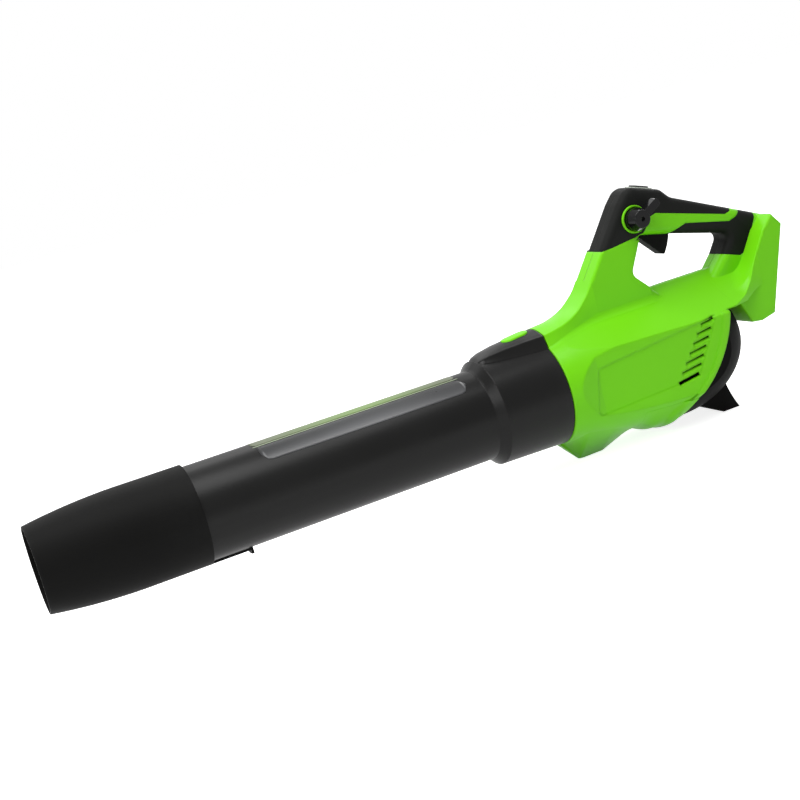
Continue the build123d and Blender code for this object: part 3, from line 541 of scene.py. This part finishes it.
# saddle over the collar, seated on the tube
saddleSize = dict(start=0.4840, end=0.5620, noseHalf=0.005, rearHalf=0.0250, noseBend=0.36, crown=9.6,
                  edge=0.0012, sideLean=0.0055, sunk=0.0006, inset=0.0005, underHalf=0.0130, underZ=0.0620,
                  underDrop=0.0030, steps=30,
                  top=[(0.4840, 0.0545), (0.4900, 0.0600), (0.5000, 0.0634), (0.5150, 0.0662),
                       (0.5400, 0.0690), (0.5620, 0.0706)])
tubeSurface = surfaceOf("blow_tube")


def saddleTop(x):
    return curveAt(saddleSize["top"], x)


def saddleHalf(x):
    share = (x - saddleSize["start"]) / (saddleSize["end"] - saddleSize["start"])
    return between(saddleSize["noseHalf"], saddleSize["rearHalf"], share ** saddleSize["noseBend"])


def saddleSection(x):
    crown, edge = saddleSize["crown"], saddleSize["edge"]
    half = saddleHalf(x)
    baseHalf = half + saddleSize["sideLean"]
    seatX = min(x, saddleSize["end"] - saddleSize["inset"])
    baseZ = heightAt(tubeSurface, seatX, -baseHalf) - saddleSize["sunk"]
    top = max(saddleTop(x), baseZ + edge + half ** 2 * crown)
    under = (min(saddleSize["underHalf"], half), min(saddleSize["underZ"], top - saddleSize["underDrop"]))
    return crownedSection(x, top, half, crown, edge, (baseHalf, baseZ), under)


# release button with its flange, crowned like the saddle, and the opening for it
buttonSize = dict(at=0.5405, length=0.0310, width=0.0180, gap=0.0006, proud=0.0016, edge=0.0010,
                  flangeLow=0.0582, flangeHigh=0.0602, flangeGrow=0.0045, points=48, edgeSteps=3,
                  crownShares=(0.75, 0.5, 0.25), crease=40.0, openingLow=0.050, openingHigh=0.090)


def buttonOutline(longer, wider):
    ring = slotRing(buttonSize["length"] + longer, buttonSize["width"] + wider, buttonSize["points"])
    return [(buttonSize["at"] + dx, dy) for dx, dy in ring]


def levelRing(outline, z):
    return [(x, y, z) for x, y in outline]


def crownAt(x, y):
    return saddleTop(x) - y * y * saddleSize["crown"]


def openingRings():
    outline = buttonOutline(2 * buttonSize["gap"], 2 * buttonSize["gap"])
    return [levelRing(outline, buttonSize["openingLow"]), levelRing(outline, buttonSize["openingHigh"])]


def buttonRings():
    at, edge, proud = buttonSize["at"], buttonSize["edge"], buttonSize["proud"]
    flange = buttonOutline(buttonSize["flangeGrow"], 0.0)
    neck = buttonOutline(0.0, 0.0)
    rim = [(x, y, crownAt(x, y) + proud - edge) for x, y in neck]
    rings = [levelRing(flange, buttonSize["flangeLow"]), levelRing(flange, buttonSize["flangeHigh"]),
             levelRing(neck, buttonSize["flangeHigh"]), rim]
    for step in range(1, buttonSize["edgeSteps"] + 1):
        turn = radians(90 * step / buttonSize["edgeSteps"])
        kept = 1 - edge * (1 - cos(turn)) / (buttonSize["width"] / 2)
        rings.append([(at + (x - at) * kept, y * kept, z + edge * sin(turn)) for x, y, z in rim])
    lip = rings[-1]
    for share in buttonSize["crownShares"]:
        nearer = [(at + (x - at) * share, y * share) for x, y, z in lip]
        rings.append([(x, y, crownAt(x, y) + proud) for x, y in nearer])
    return rings


saddleSteps = spaced(saddleSize["start"], saddleSize["end"], saddleSize["steps"])
saddleRings = [saddleSection(x) for x in saddleSteps]
saddleMesh = cutMesh(skinRings("saddleBlank", saddleRings), skinRings("buttonOpening", openingRings()))
placePiece("releaseSaddle", saddleMesh, finishes["black_plastic"], crease=loftCrease)
print("saddle laid over the collar")

buttonCap = placePiece("releaseButtonCap", skinRings("releaseButtonCap", buttonRings()),
                       finishes["green_plastic"], "release_button", buttonSize["crease"])
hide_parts("tube_release_button")
print("release button capped")


# foot of the strut, as wide as the saddle where they meet
footSize = dict(start=0.5632, end=0.6360, half=0.0175, edge=0.0022, skin=0.0002, inset=0.0005, ridgeY=-0.004,
                sunk=0.0006, underDrop=0.0060, steps=30)
housingSurface = surfaceOf("housing_left", "housing_right")


def footShare(x):
    return 1 - smoothStep((x - footSize["start"]) / (footSize["end"] - footSize["start"]))


def footHalf(x):
    return footSize["half"] + footSize["skin"] + (saddleSize["rearHalf"] - footSize["half"]) * footShare(x)


def footSeat(x):
    return max(x, footSize["start"] + footSize["inset"])


strutStart = heightAt(housingSurface, footSeat(footSize["start"]), footSize["ridgeY"])


def footSection(x):
    share = footShare(x)
    half = footHalf(x)
    top = heightAt(housingSurface, footSeat(x), footSize["ridgeY"]) + footSize["skin"]
    top += (saddleSize["top"][-1][1] - strutStart) * share
    baseHalf = half + saddleSize["sideLean"] * share
    baseZ = heightAt(housingSurface, footSeat(x), -baseHalf - footSize["inset"]) - footSize["sunk"]
    under = (saddleSize["underHalf"], top - footSize["underDrop"])
    crown = saddleSize["crown"] * share
    return crownedSection(x, top, half, crown, footSize["edge"], (baseHalf, baseZ), under)


footSteps = spaced(footSize["start"], footSize["end"], footSize["steps"])
layGreen("strutFoot", [footSection(x) for x in footSteps])

# soft inside corners along the strut, one on each side
blendSize = dict(end=0.7190, endGap=0.0004, reach=0.0064, fade=0.0140, sunk=0.0006, tuck=0.0010, skin=0.0001,
                 inset=0.0005, wallLean=0.6, upLean=0.45, outShare=0.83, steps=60, arcSteps=7)


def blendSection(x, side):
    lean = saddleSize["sideLean"] * footShare(x)
    wall = footHalf(x) + lean * blendSize["wallLean"]
    reach = blendSize["reach"] * min(1.0, (blendSize["end"] + blendSize["endGap"] - x) / blendSize["fade"])
    cornerZ = heightAt(housingSurface, footSeat(x), side * (wall + blendSize["inset"]))
    outY = wall + blendSize["outShare"] * reach
    outZ = heightAt(housingSurface, footSeat(x), side * outY) + blendSize["skin"]
    upY = wall - lean * blendSize["upLean"]
    upZ = cornerZ + reach
    ring = []
    for share in spaced(0.0, 1.0, blendSize["arcSteps"]):
        y = (1 - share) ** 2 * upY + 2 * share * (1 - share) * wall + share ** 2 * outY
        z = (1 - share) ** 2 * upZ + 2 * share * (1 - share) * cornerZ + share ** 2 * outZ
        ring.append((x, side * y, z))
    ring.append((x, side * (upY - blendSize["tuck"]), cornerZ - blendSize["sunk"] - blendSize["tuck"]))
    return ring


blendSteps = spaced(footSize["start"], blendSize["end"], blendSize["steps"])
for name, side in (("strutBlendLeft", -1), ("strutBlendRight", 1)):
    layGreen(name, [blendSection(x, side) for x in blendSteps])
print("strut foot and blends laid")


# curved blades in the side louvres, each set in the lower part of its slot
louvreSize = dict(rows=6, topX=0.740, topZ=0.029, stepX=0.0059, pitch=0.0089, length=0.0170, growth=0.0017,
                  height=0.0042, slope=9.0, lean=24.0, sideX=0.600, sideHalf=0.056, sideSlope=0.043,
                  panelDepth=0.0008, riseFront=0.0022, riseRear=0.0012, depth=0.0016, bend=1.5, flush=0.0001,
                  thick=0.0012, overlap=0.0002, steps=8, curveSteps=5)


def sideHalfAt(x):
    return louvreSize["sideHalf"] + (x - louvreSize["sideX"]) * louvreSize["sideSlope"]


def louvreRings(row, side):
    overlap = louvreSize["overlap"]
    x = louvreSize["topX"] - row * louvreSize["stepX"]
    centre = Vector((x, -sideHalfAt(x), louvreSize["topZ"] - row * louvreSize["pitch"]))
    lean = Matrix.Rotation(radians(louvreSize["lean"]), 3, "X")
    turn = lean @ Matrix.Rotation(radians(-louvreSize["slope"]), 3, "Y")
    inward = turn @ Vector((0, 1, 0))
    half = (louvreSize["length"] + row * louvreSize["growth"]) / 2 + overlap
    rings = []
    for share in spaced(0.0, 1.0, louvreSize["steps"]):
        rise = between(louvreSize["riseFront"], louvreSize["riseRear"], share)
        front, back = [], []
        for lift in spaced(0.0, 1.0, louvreSize["curveSteps"]):
            height = (rise + overlap) * lift - overlap - louvreSize["height"] / 2
            base = centre + turn @ Vector((half * (2 * share - 1), 0, height))
            toSurface = (louvreSize["panelDepth"] - sideHalfAt(base.x) - base.y) / inward.y
            depth = toSurface + louvreSize["flush"] + louvreSize["depth"] * lift ** louvreSize["bend"]
            front.append(base + inward * depth)
            back.append(base + inward * (depth + louvreSize["thick"]))
        rings.append([(point.x, -side * point.y, point.z) for point in front + back[::-1]])
    return rings


for name, side in (("Left", -1), ("Right", 1)):
    for row in range(louvreSize["rows"]):
        layGreen(f"louvreBlade{name}{row + 1}", louvreRings(row, side))
print("louvre blades set")


# shoulders that carry the roof of the housing into the battery box
shoulderSize = dict(start=0.783, end=0.834, turn=0.797, steps=34, innerHalf=0.016, boxHalf=0.040,
                    seatHalf=0.0385, tailStart=0.768, tailHalf=0.063224, tailSlope=0.41, roofAngle=34.0,
                    roofDistance=0.062, blend=0.018, sharpBlend=1e-6, bend=1.45, sideFall=1.2, skin=0.00006,
                    sideSkin=0.00015, edgeStart=0.0003, edgeEnd=0.0020, edgeRun=0.015, sunk=0.0015,
                    lowTurn=0.799, lowStart=0.03505, lowEnd=0.0450, topSteps=16, arcSteps=4,
                    boxFront=[(0.799, 0.035), (0.817, 0.057), (0.832, 0.080), (0.847, 0.103)])


def shoulderHalf(x):
    size = shoulderSize
    tail = size["tailHalf"] - (min(x, size["turn"]) - size["tailStart"]) * size["tailSlope"]
    share = max(0.0, (x - size["turn"]) / (size["end"] - size["turn"]))
    return size["boxHalf"] + size["sideSkin"] + (tail - size["boxHalf"]) * (1 - share) ** size["bend"]


def shoulderTop(x, y, blend):
    angle = radians(shoulderSize["roofAngle"])
    roof = (shoulderSize["roofDistance"] - y * sin(angle)) / cos(angle)
    beyond = max(0.0, y - shoulderSize["boxHalf"])
    front = curveAt(shoulderSize["boxFront"], x) - shoulderSize["sideFall"] * beyond
    near = max(0.0, 1 - abs(roof - front) / blend)
    return max(roof, front) + blend / 4 * near ** 2


def shoulderSection(x, side):
    size = shoulderSize
    half, inner, seat = shoulderHalf(x), size["innerHalf"], size["seatHalf"]
    rising = smoothStep((x - size["lowTurn"]) / (size["end"] - size["lowTurn"]))
    low = between(size["lowStart"], size["lowEnd"], rising)
    rounding = smoothStep((x - size["turn"]) / (size["lowTurn"] + size["edgeRun"] - size["turn"]))
    edge = between(size["edgeStart"], size["edgeEnd"], rounding)
    points = []
    for y in spaced(inner, half - edge, size["topSteps"]):
        points.append((y, shoulderTop(x, y, size["blend"]) + size["skin"]))
    foldZ = points[-1][1] - edge
    for step in range(1, size["arcSteps"] + 1):
        turn = radians(90 * step / size["arcSteps"])
        points.append((half - edge + edge * sin(turn), foldZ + edge * cos(turn)))
    points += [(half, low), (seat, low)]
    for y in spaced(seat, inner, size["topSteps"]):
        points.append((y, shoulderTop(x, y, size["sharpBlend"]) - size["sunk"]))
    return [(x, side * y, z) for y, z in points]


shoulderSteps = spaced(shoulderSize["start"], shoulderSize["end"], shoulderSize["steps"])
for name, side in (("boxShoulderLeft", -1), ("boxShoulderRight", 1)):
    layGreen(name, [shoulderSection(x, side) for x in shoulderSteps])
print("box shoulders laid")


# round underside of the body, which the keel and the belly grow out of
flare = [(0.563, 0.0596), (0.640, 0.06915), (0.730, 0.0750)]


def bodyRadius(x):
    total = 0.0
    for at, radius in flare:
        weight = 1.0
        for other, _ in flare:
            if other != at:
                weight *= (x - other) / (at - other)
        total += radius * weight
    return total


def underPoint(x, radius, turn):
    return (x, radius * sin(turn), -radius * cos(turn))


# keel whose flanks leave the round body without a corner
keelSize = dict(depth=[(0.5636, 0.0602), (0.5835, 0.0839), (0.6125, 0.0839), (0.6520, 0.0706)],
                tipHalf=0.0034, tuck=1.0, sunk=0.0002, wall=0.0015, steps=44, flankSteps=8)


def keelSection(x):
    radius, depth = bodyRadius(x), curveAt(keelSize["depth"], x)
    leave = acos(min(1.0, radius / depth)) + radians(keelSize["tuck"])
    outRadius = radius - keelSize["sunk"]
    out = Vector((outRadius * sin(leave), -outRadius * cos(leave)))
    tip = Vector((min(keelSize["tipHalf"], out.x / 2), -depth))
    flank = [out.lerp(tip, share) for share in spaced(0.0, 1.0, keelSize["flankSteps"])]
    ring = [(x, -point.x, point.y) for point in flank]
    ring += [(x, point.x, point.y) for point in flank[::-1]]
    for turn in spaced(leave, -leave, keelSize["flankSteps"]):
        ring.append(underPoint(x, radius - keelSize["wall"], turn))
    return ring


keelSteps = spaced(keelSize["depth"][0][0], keelSize["depth"][-1][0], keelSize["steps"])
layGreen("keelFlanks", [keelSection(x) for x in keelSteps])

# belly under the fan, round in front and ending in the rim
bellySize = dict(start=0.6480, lowEnd=0.6930, highEnd=0.7122, endBend=2.2, reach=50.0, rise=0.0050,
                 sideFade=2.0, front=0.40, rear=0.78, rearShare=0.35, bead=0.0018, beadWidth=0.009,
                 beadFade=0.010, skin=0.0002, wall=0.0020, turnSteps=44, steps=28,
                 rim=[(-0.090, 0.684), (-0.056, 0.696), (-0.048, 0.712)])


def bellySection(turn):
    turnShare = abs(turn) / radians(bellySize["reach"])
    across = smoothStep(bellySize["sideFade"] * (1 - turnShare))
    end = between(bellySize["lowEnd"], bellySize["highEnd"], turnShare ** bellySize["endBend"])
    ring = []
    for share in spaced(0.0, 1.0, bellySize["steps"]):
        x = between(bellySize["start"], end, share)
        falling = smoothStep((share - bellySize["rear"]) / (1 - bellySize["rear"]))
        swell = smoothStep(share / bellySize["front"]) * (1 - (1 - bellySize["rearShare"]) * falling)
        beadStart = curveAt(bellySize["rim"], -bodyRadius(x) * cos(turn)) - bellySize["beadWidth"]
        bead = smoothStep((x - beadStart) / bellySize["beadFade"] + 1)
        radius = bodyRadius(x) + bellySize["skin"] + bellySize["bead"] * bead
        ring.append(underPoint(x, radius + bellySize["rise"] * swell * across, turn))
    for x in (end, bellySize["start"]):
        ring.append(underPoint(x, bodyRadius(x) - bellySize["wall"], turn))
    return ring


bellyReach = radians(bellySize["reach"])
bellyTurns = spaced(-bellyReach, bellyReach, bellySize["turnSteps"])
layGreen("bellyRound", [bellySection(turn) for turn in bellyTurns])
print("keel flanks and belly laid")


# wound springs behind the trigger and the two buttons, each wound out from its fixed end
springBase = dict(radius=0.0028, wire=0.0008, keep=0.56, coilSteps=20, wireSides=8)
springs = {
    "triggerSpringCoil": dict(springBase, node="trigger_spring", joint="trigger_squeeze",
                              fixed=(0.742, 0, 0.150), way=(0, 0, -1), length=0.0152, turns=7),
    "turboSpringCoil": dict(springBase, node="turbo_spring", joint="turbo_press",
                            fixed=(0.72338, 0, 0.17091), way=(0.3043, 0, 0.9526), length=0.0060, turns=4),
    "releaseSpringCoil": dict(springBase, node="release_spring", joint="release_press",
                              fixed=(0.5405, 0, 0.0534), way=(0, 0, 1), length=0.0048, turns=4,
                              radius=0.0035, keep=0.05),
}


def coilRings(size):
    way = Vector(size["way"])
    across = Vector((0, 1, 0))
    third = way.cross(across)
    count = size["turns"] * size["coilSteps"]
    rings = []
    for step in range(count + 1):
        turn = radians(360 * step / size["coilSteps"])
        outward = across * cos(turn) + third * sin(turn)
        rise = size["wire"] / 2 + (size["length"] - size["wire"]) * step / count
        middle = Vector(size["fixed"]) + way * rise + outward * size["radius"]
        ring = []
        for side in range(size["wireSides"]):
            around = radians(360 * side / size["wireSides"])
            ring.append(middle + (outward * cos(around) + way * sin(around)) * size["wire"] / 2)
        rings.append(ring)
    return rings


for name, size in springs.items():
    coil = skinRings(name, coilRings(size))
    spring = placePiece(name, coil, finishes["steel"], crease=loftCrease)
    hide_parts(size["node"])
    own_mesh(spring)
print("springs wound")
